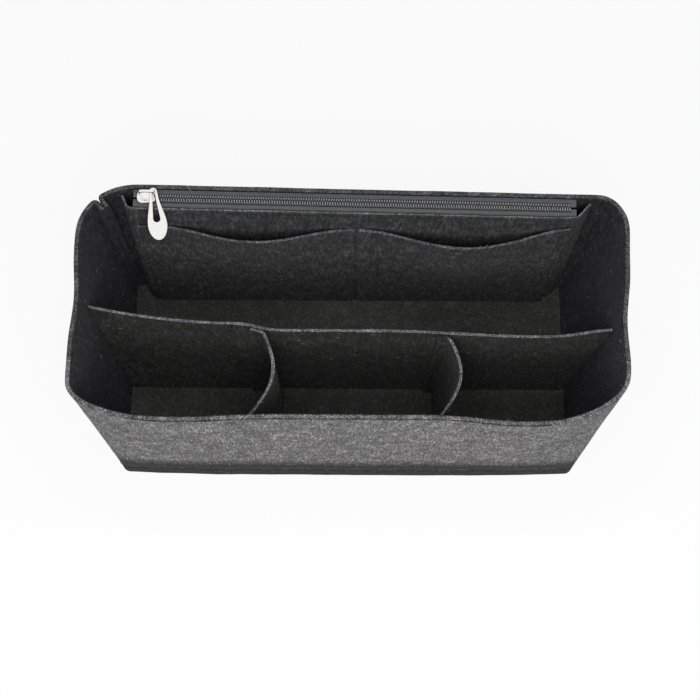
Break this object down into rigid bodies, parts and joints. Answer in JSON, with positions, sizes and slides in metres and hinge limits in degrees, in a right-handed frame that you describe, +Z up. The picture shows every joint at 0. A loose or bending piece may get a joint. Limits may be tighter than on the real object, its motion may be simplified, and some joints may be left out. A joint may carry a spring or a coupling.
{
  "type": "purse organizer insert",
  "caption": "Open felt box insert for a handbag, with a sewn base tray, a long divider, cross dividers, slip pockets and a zipped rear pocket whose slider and pull move.",
  "frame": {"origin": "centre of the underside of the base, on the surface that the insert stands on", "axes": "+X along the length to the right as seen from the front, +Y from the front wall to the rear wall, +Z up"},
  "size_m": [0.3055, 0.1398, 0.1347],
  "materials": {
    "felt_outside": "matt heathered needle felt",
    "felt_inside": "matt charcoal needle felt",
    "zip_tape": "fine woven tape",
    "zip_coil": "satin monofilament coil",
    "bright_metal": "polished plated casting"
  },
  "bodies": {
    "organizer": {"outer_wall": "felt_outside", "base_tray": "felt_outside", "long_divider": "felt_inside", "left_cross_divider": "felt_inside", "right_cross_divider": "felt_inside", "zip_panel": "felt_inside", "slip_pocket_panel": "felt_inside", "rear_zip_tape": "zip_tape", "front_zip_tape": "zip_tape", "rear_zip_coil": "zip_coil", "front_zip_coil": "zip_coil"},
    "slider": {"zip_slider": "bright_metal"},
    "pull": {"zip_pull": "bright_metal"}
  },
  "joints": [
    {"name": "zip_slide", "type": "slide", "parent": "organizer", "child": "slider", "axis": [0.9998, -0.0197, 0], "range_m": [0, 0.23], "deforming": ["rear_zip_coil", "front_zip_coil"]},
    {"name": "pull_tilt", "type": "hinge", "parent": "slider", "child": "pull", "pos_m": [-0.10786, 0.06066, 0.1313], "axis": [-0.9998, 0.0197, 0], "range_deg": [0, 70]}
  ]
}
